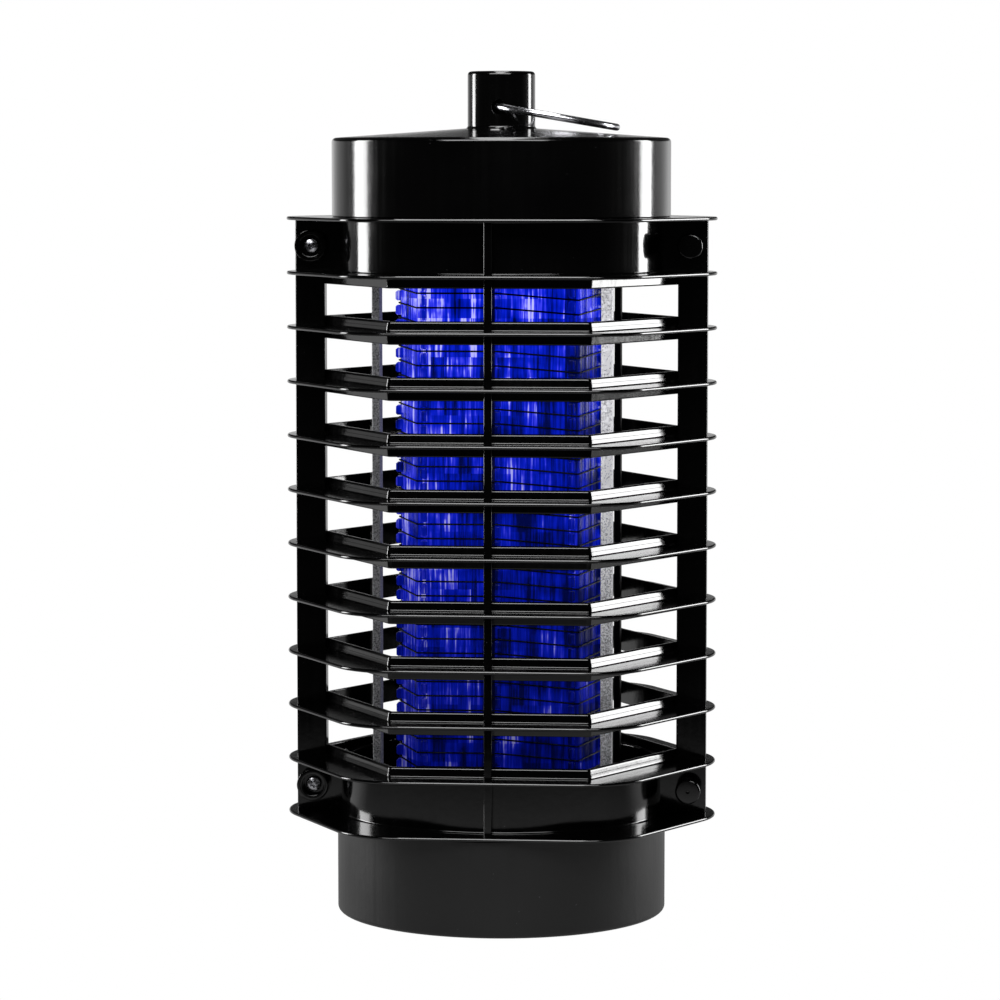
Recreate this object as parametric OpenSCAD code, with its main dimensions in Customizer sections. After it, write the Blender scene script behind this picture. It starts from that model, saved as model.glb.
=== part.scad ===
// Hanging electric insect zapper with a louvred guard, a lit core and a pull-off tray.
// Origin: centre of the tray's underside. +Z up, front towards -Y. Millimetres.

/* [Guard] */
// Distance between neighbouring louvre plates
plate_pitch = 15.5; // [14:0.5:17]
// Thickness of a louvre plate
plate_t = 1.0; // [0.8:0.1:1.6]
// Height of the lowest plate's middle above the base
plate_bottom_z = 28.0; // [27:0.5:30]
// Distance from the axis to a plate's flat front edge
plate_apothem = 49.1; // [47:0.1:52]
// Half length of a plate's flat front edge, before its corners are rounded
plate_front_half = 36.4; // [34:0.1:40]
// Radius of a plate's corners
plate_corner_r = 21.1; // [15:0.1:24]
// Distance from the axis to the flat front of the bands
band_apothem = 40.5; // [39.5:0.1:42]
// Half length of a band's flat front
band_front_half = 28.0; // [26:0.1:30]
// Height of a band
band_h = 6.5; // [5:0.1:7.5]
// Wall thickness of a band
band_t = 1.5; // [1.2:0.1:2]
// Half width of the oval end walls
oval_half_w = 46.0; // [45:0.1:46.5]
// Half depth of the oval end walls
oval_half_d = 40.5; // [39:0.1:41]
// Radius of the oval's narrow ends
oval_end_r = 38.0; // [36:0.1:39]
// Thickness of the oval end walls
oval_t = 1.8; // [1.4:0.1:2.2]
// Outer edge of the side pillars, from the axis
pillar_outer_x = 58.9; // [57:0.1:60]
// Inner edge of the side pillars, from the axis
pillar_inner_x = 50.4; // [49:0.1:51]
// Thickness of one half's pillar
pillar_t = 2.5; // [2:0.1:3]
// Width of the upright bar at the middle of each half
bar_w = 2.3; // [2:0.1:3]
// Distance from the axis to the bar's front face
bar_front_y = 44.5; // [43:0.1:46]
// Distance from the axis to the bar's back face, between the two end walls
bar_back_y = 34.2; // [33.6:0.1:34.6]

/* [Screw bosses] */
// Distance of the screws from the axis
boss_x = 54.0; // [53.5:0.1:54.2]
// Radius of the boss that takes a screw head
head_boss_r = 4.6; // [4:0.1:4.7]
// Length of the boss that takes a screw head
head_boss_len = 6.5; // [5.5:0.1:8]
// Radius of the well for the screw head
head_well_r = 3.0; // [2.6:0.1:3.2]
// Depth of the seat under the screw head, from the joint face
head_seat_y = 3.2; // [3:0.1:4]
// Radius of the boss that takes a screw thread
thread_boss_r = 3.8; // [3.4:0.1:4.2]
// Length of the boss that takes a screw thread
thread_boss_len = 9.5; // [9:0.1:11]
// Radius of the clearance hole for the screw
clear_r = 1.75; // [1.6:0.05:1.9]
// Radius of a screw's shank
shank_r = 1.25; // [1:0.05:1.4]
// Radius of a screw's head
head_r = 2.2; // [2:0.1:2.5]
// Height of a screw's head
head_h = 1.7; // [1.4:0.1:2]

/* [Top cover] */
// Radius of the top cover
cover_r = 48.2; // [47:0.1:49]
// Height of the top cover's rim above the base
cover_rim_z = 221.3; // [218:0.1:224]
// Wall thickness of the top cover
cover_t = 2.0; // [1.6:0.1:2.4]
// Rise of the shallow cone from the rim to the hanger post
cone_rise = 2.6; // [2:0.1:3]
// Radius of the hanger post
hanger_r = 9.6; // [9:0.1:10]
// Height of the top of the hanger post above the base
hanger_top_z = 240.0; // [238:0.5:242]
// Height of the ring's holes above the base
ring_hole_z = 229.9; // [229:0.1:230]
// Radius of the ring's holes
ring_hole_r = 2.0; // [1.95:0.05:2.1]
// Height of the cord inlet above the base
inlet_z = 209.0; // [207:0.5:211]

/* [Hanging ring] */
// Mean radius of the ring, whose two ends sit in the hanger post
ring_r = 17.7; // [17:0.1:18]
// Radius of the ring's wire
ring_wire_r = 1.0; // [0.9:0.05:1]
// Angle of the ring below level as it lies on the cover
ring_rest_deg = 9.8; // [9:0.1:10.5]

/* [Tray] */
// Outer radius of the tray
tray_r = 47.1; // [46:0.1:47.5]
// Wall thickness of the tray
tray_t = 1.8; // [1.4:0.1:2]
// Gap between the tray's rim and the guard
tray_gap = 0.25; // [0.2:0.05:0.4]
// Height that the frame's collar reaches into the tray
collar_h = 9.0; // [6:0.5:12]

/* [Core] */
// Half width of the core at its widest
core_half_w = 29.0; // [28.5:0.1:29.2]
// Half width of the core's front face
core_front_half = 22.8; // [22.2:0.1:23.4]
// Half depth of the core
core_half_d = 12.5; // [12:0.1:14]
// Wall thickness of the light cover
core_t = 1.4; // [1.2:0.1:1.8]
// Distance between neighbouring turns of the two wires
wire_gap = 4.09; // [4:0.01:4.2]
// Radius of the grid wires
wire_r = 0.25; // [0.2:0.01:0.3]
// How far the side combs' teeth stand out from the core
side_tooth = 1.2; // [1:0.05:1.4]
// How far the other combs' teeth stand out from the core
face_tooth = 0.8; // [0.7:0.05:1]
// Distance of the combs on the front and rear faces from the middle
comb_x = 21.0; // [20:0.1:21.4]

/* [Hidden] */

$fn = 96;
big = 200;
eps = 0.01;

// Heights that follow from the stack of plates
plate_count = 12;
last_plate = plate_count - 1;
plate_top_z = plate_bottom_z + last_plate * plate_pitch;
guard_base_z = plate_bottom_z - plate_t / 2;
guard_top_z = plate_top_z + plate_t / 2;
guard_h = guard_top_z - guard_base_z;
lower_louvre_z = plate_z(1);
upper_louvre_z = plate_z(last_plate - 1);
lower_boss_z = (plate_z(0) + plate_z(1)) / 2;
upper_boss_z = (plate_z(last_plate - 1) + plate_z(last_plate)) / 2;
function plate_z(k) = plate_bottom_z + k * plate_pitch;

// Inner frames
frame_fit = 0.3;
frame_wall = 2.0;
deck_t = 2.0;
core_base_z = guard_base_z + 4.0;
core_top_z = upper_louvre_z + plate_t / 2 + 0.5;
core_h = core_top_z - core_base_z;
lid_boss_x = 37.5;
lid_boss_r = 3.4;
board_z = 202.0;
board_t = 1.6;
standoff_x = 25.0;
standoff_y = 17.0;
standoff_r = 2.6;
pilot_slack = 0.05;

// Leads that drop from the board's edge to the upper end of each wire, and to the lamps
lead_r = 0.6;
lead_end_r = 0.5;
lead_hole_r = 0.9;
lead_x = core_half_w + 0.9;
lead_y = [2.6, 4.8];
led_lead_x = 3.0;

// Rubber bush at the back of the cover
grommet_r = 4.6;
grommet_bore_r = 3.0;

// A hexagon with flat front and back and 120 degree corners, corners at 0, 60 .. 300 degrees
function hex_points(front_half, apothem) =
    let (w = front_half + apothem / tan(60))
    [[w, 0], [front_half, apothem], [-front_half, apothem],
     [-w, 0], [-front_half, -apothem], [front_half, -apothem]];

// The same hexagon drawn in by t on every side
function hex_inset(front_half, apothem, t) = hex_points(front_half - t * tan(30), apothem - t);

// The same hexagon with its corners rounded
arc_steps = 8;
function unit(a) = [cos(a), sin(a)];
function rounded_hex(front_half, apothem, r) =
    let (v = hex_points(front_half, apothem))
    [for (k = [0:5]) for (i = [0:arc_steps])
        v[k] - r / sin(60) * unit(60 * k) + r * unit(60 * k - 30 + 60 * i / arc_steps)];

// An oval of four tangent arcs: end_r at the narrow ends, a larger radius at the front and back
function oval(half_w, half_d, end_r) =
    let (cx = half_w - end_r,
         cy = (cx * cx - pow(half_d - end_r, 2)) / (2 * (half_d - end_r)),
         front_r = half_d + cy,
         turn = atan(cx / cy),
         side = 90 - turn)
    concat([for (i = [0:12]) [cx, 0] + end_r * unit(-side + 2 * side * i / 12)],
           [for (i = [1:6]) [0, -cy] + front_r * unit(side + 2 * turn * i / 6)],
           [for (i = [1:12]) [-cx, 0] + end_r * unit(180 - side + 2 * side * i / 12)],
           [for (i = [1:5]) [0, cy] + front_r * unit(180 + side + 2 * turn * i / 6)]);
function oval_inset(t) = oval(oval_half_w - t, oval_half_d - t, oval_end_r - t);

module slab(z0, z1) {
    translate([0, 0, z0]) linear_extrude(z1 - z0) children();
}

module front_half_2d() {
    intersection() {
        children();
        translate([-big / 2, -big]) square([big, big]);
    }
}

// A round bar along Y that starts at the joint face and runs forward
module forward_rod(x, z, r, y0, y1) {
    translate([x, -y0, z]) rotate([90, 0, 0]) cylinder(r = r, h = y1 - y0, $fn = 48);
}

/* Guard: two identical halves, screwed together at the side pillars */
module louvre_plate(k) {
    open_end = k < 2 || k > last_plate - 2;
    slab(plate_z(k) - plate_t / 2, plate_z(k) + plate_t / 2) front_half_2d() difference() {
        polygon(rounded_hex(plate_front_half, plate_apothem, plate_corner_r));
        if (open_end) polygon(oval_inset(oval_t));
        else polygon(hex_inset(band_front_half, band_apothem, band_t));
    }
}

module louvre_band(k) {
    below = band_h / 2;
    above = k == last_plate - 1 ? 0 : band_h / 2;
    z0 = k == 1 ? plate_z(k) : plate_z(k) - below;
    slab(z0, plate_z(k) + above) front_half_2d() difference() {
        polygon(hex_points(band_front_half, band_apothem));
        polygon(hex_inset(band_front_half, band_apothem, band_t));
    }
}

module end_wall(z0, z1) {
    slab(z0, z1) front_half_2d() difference() {
        polygon(oval_inset(0));
        polygon(oval_inset(oval_t));
    }
    flange_x = oval_half_w - oval_t + 0.4;
    for (side = [-1, 1])
        translate([side > 0 ? flange_x : -pillar_outer_x, -pillar_t, z0])
            cube([pillar_outer_x - flange_x, pillar_t, z1 - z0]);
}

module guard_half() {
    // In the end sections the bar stops inside the end walls
    bar_end_y = oval_half_d - 1.0;
    difference() {
        union() {
            for (k = [0:last_plate]) louvre_plate(k);
            for (k = [1:last_plate - 1]) louvre_band(k);
            end_wall(plate_z(0), plate_z(1));
            end_wall(plate_z(last_plate - 1), plate_z(last_plate));
            for (side = [-1, 1])
                translate([side > 0 ? pillar_inner_x : -pillar_outer_x, -pillar_t, guard_base_z])
                    cube([pillar_outer_x - pillar_inner_x, pillar_t, guard_h]);
            translate([-bar_w / 2, -bar_front_y, guard_base_z])
                cube([bar_w, bar_front_y - bar_end_y, guard_h]);
            translate([-bar_w / 2, -bar_end_y - eps, lower_louvre_z])
                cube([bar_w, bar_end_y + eps - bar_back_y, upper_louvre_z - lower_louvre_z]);
            for (z = [lower_boss_z, upper_boss_z]) {
                forward_rod(-boss_x, z, head_boss_r, 0, head_boss_len);
                forward_rod(boss_x, z, thread_boss_r, 0, thread_boss_len);
            }
        }
        for (z = [lower_boss_z, upper_boss_z]) {
            forward_rod(-boss_x, z, clear_r, -1, head_seat_y + 1);
            forward_rod(-boss_x, z, head_well_r, head_seat_y, head_boss_len + 1);
            forward_rod(boss_x, z, shank_r + pilot_slack, -1, thread_boss_len - 1.5);
        }
    }
}

module front_guard() {
    color([0.03, 0.03, 0.035]) guard_half();
}

module rear_guard() {
    color([0.05, 0.05, 0.055]) rotate([0, 0, 180]) guard_half();
}

// A cross-recess pan-head screw along +Z, head up, its seat at z = 0
module screw(shank_len) {
    recess_w = 0.6;
    recess_len = head_r * 1.2;
    recess_depth = 0.9;
    crown_r = head_r * 0.72;
    difference() {
        union() {
            cylinder(r1 = head_r, r2 = crown_r, h = head_h, $fn = 48);
            translate([0, 0, -shank_len]) cylinder(r = shank_r, h = shank_len + eps, $fn = 48);
        }
        for (a = [0, 90]) rotate([0, 0, a])
            translate([-recess_len / 2, -recess_w / 2, head_h - recess_depth])
                cube([recess_len, recess_w, recess_depth + 1]);
    }
}

module guard_screws() {
    reach = head_seat_y + thread_boss_len - 2.5;
    color([0.55, 0.55, 0.57])
        for (half = [0, 180]) rotate([0, 0, half])
            for (z = [lower_boss_z, upper_boss_z])
                translate([-boss_x, -head_seat_y, z]) rotate([90, 0, 0]) screw(reach);
}

/* Top cover with its hanger post, and what is fixed to it */
post_wall = cover_t + 0.2;
cover_screw_len = 24;
module top_cover() {
    post_web_t = 1.8;
    rim_r = 1.2;
    post_edge = 0.8;
    screw_bite = cover_screw_len - (guard_top_z - core_top_z) + 1;
    cone_top_z = cover_rim_z + cone_rise;
    inner_r = cover_r - cover_t;
    post_bore = hanger_r - post_wall;
    ring_hole_y = 4.0;
    color([0.03, 0.03, 0.035]) difference() {
        union() {
            difference() {
                rotate_extrude() polygon([
                    [0, guard_top_z], [cover_r, guard_top_z], [cover_r, cover_rim_z - rim_r],
                    [cover_r - rim_r * 0.3, cover_rim_z - rim_r * 0.3], [cover_r - rim_r, cover_rim_z],
                    [hanger_r, cone_top_z], [hanger_r, hanger_top_z - post_edge],
                    [hanger_r - post_edge, hanger_top_z], [0, hanger_top_z]]);
                rotate_extrude() polygon([
                    [0, guard_top_z - 1], [inner_r, guard_top_z - 1], [inner_r, cover_rim_z - cover_t],
                    [post_bore, cone_top_z - cover_t], [post_bore, hanger_top_z - cover_t],
                    [0, hanger_top_z - cover_t]]);
            }
            for (side = [-1, 1])
                translate([side * lid_boss_x, 0, guard_top_z + 0.5])
                    cylinder(r = lid_boss_r, h = cover_rim_z - guard_top_z - 1.5, $fn = 48);
            translate([-post_bore - eps, -post_web_t / 2, cone_top_z - cover_t])
                cube([2 * post_bore + 2 * eps, post_web_t, hanger_top_z - cone_top_z + eps]);
        }
        for (turn = [0, 180]) rotate([0, 0, turn]) translate([0, -ring_hole_y, ring_hole_z])
            rotate([90, 0, 0]) cylinder(r = ring_hole_r, h = 2 * hanger_r, $fn = 64);
        translate([0, cover_r + 3, inlet_z]) rotate([90, 0, 0]) cylinder(r = grommet_r, h = 8, $fn = 64);
        for (side = [-1, 1])
            translate([side * lid_boss_x, 0, guard_top_z - 1])
                cylinder(r = shank_r + pilot_slack, h = screw_bite + 1, $fn = 48);
    }
}

// A ring of round wire whose ends pass through the post's wall and stop inside it
ring_end_y = 5.5;
module hanging_ring() {
    wall_mid = hanger_r - post_wall / 2;
    hole_offset = sqrt(ring_r * ring_r - wall_mid * wall_mid);
    half_gap = asin(ring_end_y / ring_r);
    color([0.72, 0.72, 0.74])
        translate([0, 0, ring_hole_z]) rotate([0, ring_rest_deg, 0]) translate([hole_offset, 0, 0])
            rotate([0, 0, half_gap - 180]) rotate_extrude(angle = 360 - 2 * half_gap)
                translate([ring_r, 0]) circle(r = ring_wire_r, $fn = 48);
}

// The bush has a flange outside the cover and a neck through its wall
module cord_grommet() {
    flange_r = 6.0;
    flange_t = 1.6;
    neck_len = 3.4;
    seat_y = cover_r + 0.1;
    color([0.06, 0.06, 0.06]) translate([0, seat_y, inlet_z]) rotate([-90, 0, 0]) difference() {
        union() {
            cylinder(r = flange_r, h = flange_t, $fn = 64);
            translate([0, 0, -neck_len]) cylinder(r = grommet_r - 0.1, h = neck_len + eps, $fn = 64);
        }
        translate([0, 0, -neck_len - 1]) cylinder(r = grommet_bore_r, h = neck_len + flange_t + 2, $fn = 64);
    }
}

module cover_screws() {
    color([0.55, 0.55, 0.57])
        for (side = [-1, 1])
            translate([side * lid_boss_x, 0, core_top_z]) rotate([180, 0, 0]) screw(cover_screw_len);
}

/* Inner frame: an upper cup, a lower cup on the tray's collar, and four posts between them */
module upper_frame() {
    wall_top_z = guard_top_z + 0.4;
    color([0.05, 0.05, 0.055]) difference() {
        union() {
            slab(core_top_z, core_top_z + deck_t) polygon(oval_inset(oval_t + frame_fit));
            slab(core_top_z, wall_top_z) difference() {
                polygon(oval_inset(oval_t + frame_fit));
                polygon(oval_inset(oval_t + frame_fit + frame_wall));
            }
            for (x = [-standoff_x, standoff_x]) for (y = [-standoff_y, standoff_y])
                translate([x, y, core_top_z + eps])
                    cylinder(r = standoff_r, h = board_z - core_top_z - eps, $fn = 32);
            for (side = [-1, 1])
                translate([side * lid_boss_x, 0, core_top_z + eps])
                    cylinder(r = lid_boss_r, h = wall_top_z - core_top_z, $fn = 48);
        }
        for (side = [-1, 1]) {
            translate([side * lid_boss_x, 0, core_top_z - 1])
                cylinder(r = clear_r, h = wall_top_z - core_top_z + 2, $fn = 48);
            translate([side * led_lead_x, 0, core_top_z - 1])
                cylinder(r = lead_hole_r, h = deck_t + 2, $fn = 32);
        }
        for (y = lead_y)
            translate([lead_x, y, core_top_z - 1]) cylinder(r = lead_hole_r, h = deck_t + 2, $fn = 32);
    }
}

// The deck that the core stands on, with windows all round it for insects to fall through:
// nearer and farther edge from the middle, and half length
side_window = [31.5, 38.4, 13.5];
face_window = [17.0, 30.0, 22.0];
module lower_frame() {
    color([0.05, 0.05, 0.055]) difference() {
        slab(guard_base_z, core_base_z) polygon(oval_inset(oval_t + frame_fit));
        slab(guard_base_z - 1, core_base_z - deck_t) polygon(oval_inset(oval_t + frame_fit + frame_wall));
        for (side = [0:3]) rotate([0, 0, 90 * side]) {
            w = side % 2 == 0 ? side_window : face_window;
            translate([w[0], -w[2], core_base_z - deck_t - 1])
                cube([w[1] - w[0], 2 * w[2], deck_t + 2]);
        }
    }
}

// A round skirt that the tray is pushed over, under a flange with the lower cup's oval hole
module tray_collar() {
    skirt_r = tray_r - tray_t - 0.3;
    skirt_z = guard_base_z - collar_h;
    color([0.05, 0.05, 0.055]) difference() {
        translate([0, 0, skirt_z]) cylinder(r = skirt_r, h = collar_h);
        translate([0, 0, skirt_z - 1]) cylinder(r = skirt_r - tray_t, h = collar_h - deck_t + 1);
        slab(skirt_z, guard_base_z + 1) polygon(oval_inset(oval_t + frame_fit + frame_wall));
    }
}

// Flat posts between the decks, each with its own width: nearer and farther edge from the middle
post_y = [14.0, 21.0];
front_left_x = [32.5, 34.7];
front_right_x = [29.75, 32.9];
rear_left_x = [27.4, 30.6];
rear_right_x = [31.5, 33.4];
module post(x_range, side_x, side_y) {
    x0 = side_x > 0 ? x_range[0] : -x_range[1];
    y0 = side_y > 0 ? post_y[0] : -post_y[1];
    color([0.25, 0.25, 0.26]) translate([x0, y0, core_base_z])
        cube([x_range[1] - x_range[0], post_y[1] - post_y[0], core_h]);
}
module post_front_left() { post(front_left_x, -1, -1); }
module post_front_right() { post(front_right_x, 1, -1); }
module post_rear_left() { post(rear_left_x, -1, 1); }
module post_rear_right() { post(rear_right_x, 1, 1); }

/* Core: a lit translucent cover that two bare wires are wound on, held by toothed combs */
core_lean = atan((core_half_w - core_front_half) / core_half_d);
corner_aim = (90 + core_lean) / 2;
corner_bend = (90 - core_lean) / 2;
turn_pitch = 2 * wire_gap;
winding_top_z = core_top_z - 2.7;
turn_count = floor((core_h - 8) / turn_pitch);

// The places a wire bends at or is held at, in the order it meets them from the right-hand side:
// [x, y, outward direction, half of the bend, fall since the start in turns, comb kind]
no_comb = 0;
face_comb = 1;
side_comb = 2;
stops = [
    [core_half_w, 0, 0, core_lean, 0, side_comb],
    [core_front_half, -core_half_d, -corner_aim, corner_bend, 0.19, no_comb],
    [comb_x, -core_half_d, -90, 0, 0.17, face_comb],
    [0, -core_half_d, -90, 0, -0.04, face_comb],
    [-comb_x, -core_half_d, -90, 0, -0.04, face_comb],
    [-core_front_half, -core_half_d, corner_aim - 180, corner_bend, -0.04, no_comb],
    [-core_half_w, 0, 180, core_lean, -0.16, side_comb],
    [-core_front_half, core_half_d, 180 - corner_aim, corner_bend, 0.04, no_comb],
    [-comb_x, core_half_d, 90, 0, 0.07, face_comb],
    [comb_x, core_half_d, 90, 0, 0.77, face_comb],
    [core_front_half, core_half_d, corner_aim, corner_bend, 0.8, no_comb]];
stop_count = len(stops);
left_stop = 6;
corner_stops = [0, 10, 7, 6, 5, 1];

function stop_at(i) = [stops[i][0], stops[i][1]];
function stop_z(i, turns) = winding_top_z - (turns + stops[i][4]) * turn_pitch;
function core_line(t) = [for (i = corner_stops) stop_at(i) - t / cos(stops[i][3]) * unit(stops[i][2])];

// Half heights of a notch: at the comb's outer edge, at the foot of its chamfer and at its floor
notch_half = [1.15, 0.65, 0.5];
chamfer_foot = 0.7;
comb_w = [0, 1.9, 3.0];
comb_out = [0, face_tooth, side_tooth];
comb_root = [0, core_t / 2, 1.2];

// One comb: teeth between notches, drawn with x outwards and y up
module comb(i) {
    kind = stops[i][5];
    out = comb_out[kind];
    root = -comb_root[kind];
    floor_x = root + 0.1;
    first_z = stop_z(i, 0);
    last = 2 * turn_count + (i <= left_stop ? 1 : -1);
    start_z = min(first_z + wire_gap / 2, core_top_z);
    end_z = first_z - (last + 0.5) * wire_gap;
    notch = [[out, notch_half[0]], [out * chamfer_foot, notch_half[1]], [floor_x, notch_half[2]],
             [floor_x, -notch_half[2]], [out * chamfer_foot, -notch_half[1]], [out, -notch_half[0]]];
    teeth = [for (n = [0:last]) for (p = notch) [p[0], p[1] + first_z - n * wire_gap]];
    outline = concat([[root, start_z], [out, start_z]], teeth, [[out, end_z], [root, end_z]]);
    translate([stops[i][0], stops[i][1], 0]) rotate([0, 0, stops[i][2]])
        translate([0, comb_w[kind] / 2, 0]) rotate([90, 0, 0])
            linear_extrude(comb_w[kind]) polygon(outline);
}

module light_cover() {
    color([0.12, 0.16, 0.95, 0.6]) union() {
        slab(core_base_z, core_top_z) difference() {
            polygon(core_line(0));
            polygon(core_line(core_t));
        }
        for (i = [0:stop_count - 1]) if (stops[i][5] != no_comb) comb(i);
    }
}

// One wire: a six-sided tube from stop to stop, that ends at the left-hand comb
wire_sides = 6;
wire_stand = wire_r + 0.1;
module wound_wire(drop) {
    last = stop_count * turn_count + left_stop;
    rings = [for (n = [0:last])
             let (i = n % stop_count, s = stops[i], stretch = 1 / cos(s[3]), u = unit(s[2]),
                  base = stop_at(i) + wire_stand * stretch * u,
                  z = stop_z(i, floor(n / stop_count)) - drop)
             each [for (f = [0:wire_sides - 1])
                   let (a = 360 * f / wire_sides, out = wire_r * stretch * cos(a))
                   [base[0] + out * u[0], base[1] + out * u[1], z + wire_r * sin(a)]]];
    sides = [for (n = [0:last - 1]) for (f = [0:wire_sides - 1])
             let (g = (f + 1) % wire_sides, p = n * wire_sides, q = p + wire_sides)
             each [[p + f, q + g, q + f], [p + f, p + g, q + g]]];
    first_cap = [[for (f = [wire_sides - 1:-1:0]) f]];
    last_cap = [[for (f = [0:wire_sides - 1]) last * wire_sides + f]];
    polyhedron(points = rings, faces = concat(sides, first_cap, last_cap));
}

module grid_wire_a() {
    color([0.35, 0.35, 0.37]) wound_wire(0);
}

module grid_wire_b() {
    color([0.35, 0.35, 0.37]) wound_wire(wire_gap);
}

// Light source: a strip board on edge inside the cover, with lamps on both faces
strip_w = 12.0;
strip_t = 1.6;
lamp_rows = 5;
lamp_size = 5.0;
lamp_t = 1.6;
module led_board() {
    color([0.9, 0.9, 0.88]) translate([-strip_w / 2, -strip_t / 2, core_base_z])
        cube([strip_w, strip_t, core_h]);
}

module leds() {
    step = core_h / lamp_rows;
    color([0.95, 0.9, 0.5])
        for (side = [-1, 1]) for (i = [0:lamp_rows - 1])
            translate([-lamp_size / 2, side > 0 ? strip_t / 2 : -strip_t / 2 - lamp_t,
                       core_base_z + (i + 0.5) * step - lamp_size / 2])
                cube([lamp_size, lamp_t, lamp_size]);
}

/* High-voltage supply on the board under the cover */
board_w = 58.0;
board_d = 42.0;
parts_z = board_z + board_t;
module circuit_board() {
    color([0.1, 0.35, 0.15]) difference() {
        translate([-board_w / 2, -board_d / 2, board_z]) cube([board_w, board_d, board_t]);
        for (x = [-standoff_x, standoff_x]) for (y = [-standoff_y, standoff_y])
            translate([x, y, board_z - 1]) cylinder(r = 1.4, h = board_t + 2, $fn = 32);
    }
}

// A ferrite transformer: two flanges with the winding between them
coil_place = [-20, -8];
coil_w = 16.0;
coil_flange_t = 2.0;
coil_h = 8.0;
module transformer() {
    winding_w = coil_w - 2 * coil_flange_t;
    color([0.75, 0.6, 0.15]) translate([coil_place[0], coil_place[1], parts_z]) {
        cube([coil_w, coil_w, coil_flange_t]);
        translate([coil_flange_t, coil_flange_t, coil_flange_t - eps])
            cube([winding_w, winding_w, coil_h]);
        translate([0, 0, coil_flange_t + coil_h - 2 * eps]) cube([coil_w, coil_w, coil_flange_t]);
    }
}

capacitor_place = [4, -15];
capacitor_size = [13, 6.5, 9];
capacitor_step = 10.5;
module capacitors() {
    color([0.6, 0.15, 0.1])
        for (i = [0:2])
            translate([capacitor_place[0], capacitor_place[1] + capacitor_step * i, parts_z])
                cube(capacitor_size);
}

// Small parts that lie along Y, on their leads
module lying_part(x, y, r, len) {
    translate([x, y - len / 2, parts_z + r]) rotate([-90, 0, 0]) cylinder(r = r, h = len, $fn = 32);
}

diode_place = [20.5, -12.5];
diode_step = 7.6;
module diodes() {
    color([0.1, 0.1, 0.1])
        for (i = [0:3]) lying_part(diode_place[0], diode_place[1] + diode_step * i, 1.35, 5);
}

resistor_place = [-14, -14.5];
resistor_step = 4.0;
module resistors() {
    color([0.7, 0.6, 0.45])
        for (i = [0:2]) lying_part(resistor_place[0] + resistor_step * i, resistor_place[1], 1.2, 6.5);
}

// One lead for each wire: down through the upper deck, with a bare tail to the wire's upper end
module grid_leads() {
    lead_top_z = parts_z + lead_end_r;
    landing_x = board_w / 2 - 3;
    tail_gap = 0.03;
    color([0.8, 0.1, 0.1]) for (i = [0, 1]) {
        end_z = winding_top_z - i * wire_gap;
        translate([lead_x, lead_y[i], end_z - 2 * wire_r])
            cylinder(r = lead_r, h = lead_top_z - end_z + 2 * wire_r + lead_r, $fn = 24);
        translate([landing_x, lead_y[i], lead_top_z]) rotate([0, 90, 0])
            cylinder(r = lead_end_r, h = lead_x - landing_x, $fn = 24);
        translate([core_half_w + wire_stand / cos(core_lean), tail_gap, end_z]) rotate([-90, 0, 0])
            cylinder(r = wire_r, h = lead_y[i], $fn = 24);
    }
}

module led_leads() {
    color([0.85, 0.85, 0.2]) for (side = [-1, 1])
        translate([side * led_lead_x, 0, core_top_z + eps])
            cylinder(r = lead_r, h = board_z - core_top_z - eps, $fn = 24);
}

/* Tray: an open cup that is pushed over the frame's collar */
module collection_tray() {
    rim_z = guard_base_z - tray_gap;
    edge = 1.2;
    floor_t = 2.0;
    foot_inner_r = tray_r - 8;
    foot_h = 0.8;
    color([0.06, 0.06, 0.065]) rotate_extrude() polygon([
        [0, foot_h], [foot_inner_r, foot_h], [foot_inner_r, 0], [tray_r - edge, 0],
        [tray_r - edge * 0.3, edge * 0.3], [tray_r, edge], [tray_r, rim_z],
        [tray_r - tray_t, rim_z], [tray_r - tray_t, floor_t + foot_h], [0, floor_t + foot_h]]);
}

top_cover();
hanging_ring();
cord_grommet();
cover_screws();
front_guard();
rear_guard();
guard_screws();
upper_frame();
lower_frame();
tray_collar();
post_front_left();
post_front_right();
post_rear_left();
post_rear_right();
light_cover();
led_board();
leds();
grid_wire_a();
grid_wire_b();
circuit_board();
transformer();
capacitors();
diodes();
resistors();
grid_leads();
led_leads();
collection_tray();
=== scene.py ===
import math

import bmesh
import bpy
from mathutils import Matrix, Vector


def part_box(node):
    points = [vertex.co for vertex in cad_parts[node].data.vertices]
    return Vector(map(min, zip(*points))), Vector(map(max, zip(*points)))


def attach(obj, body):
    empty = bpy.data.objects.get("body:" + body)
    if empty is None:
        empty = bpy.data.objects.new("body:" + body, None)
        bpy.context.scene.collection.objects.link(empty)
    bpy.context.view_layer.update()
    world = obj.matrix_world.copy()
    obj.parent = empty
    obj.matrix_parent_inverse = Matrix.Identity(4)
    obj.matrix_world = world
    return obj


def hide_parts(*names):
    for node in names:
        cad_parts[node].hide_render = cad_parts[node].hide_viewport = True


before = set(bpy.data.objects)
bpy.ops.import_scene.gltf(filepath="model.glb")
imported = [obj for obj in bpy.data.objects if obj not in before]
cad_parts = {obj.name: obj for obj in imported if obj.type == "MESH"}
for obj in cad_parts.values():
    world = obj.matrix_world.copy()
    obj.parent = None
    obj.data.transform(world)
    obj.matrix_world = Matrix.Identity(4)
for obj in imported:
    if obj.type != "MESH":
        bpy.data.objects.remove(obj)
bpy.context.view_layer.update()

scene = bpy.context.scene
MM = 0.001


# ---------------------------------------------------------------- dimensions
# Places come from the frame's own boxes; section sizes are in metres.
guard_low, guard_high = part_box("front_guard")
cover_low, cover_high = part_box("top_cover")
_, tray_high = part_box("collection_tray")
core_low, core_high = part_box("light_cover")

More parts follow.
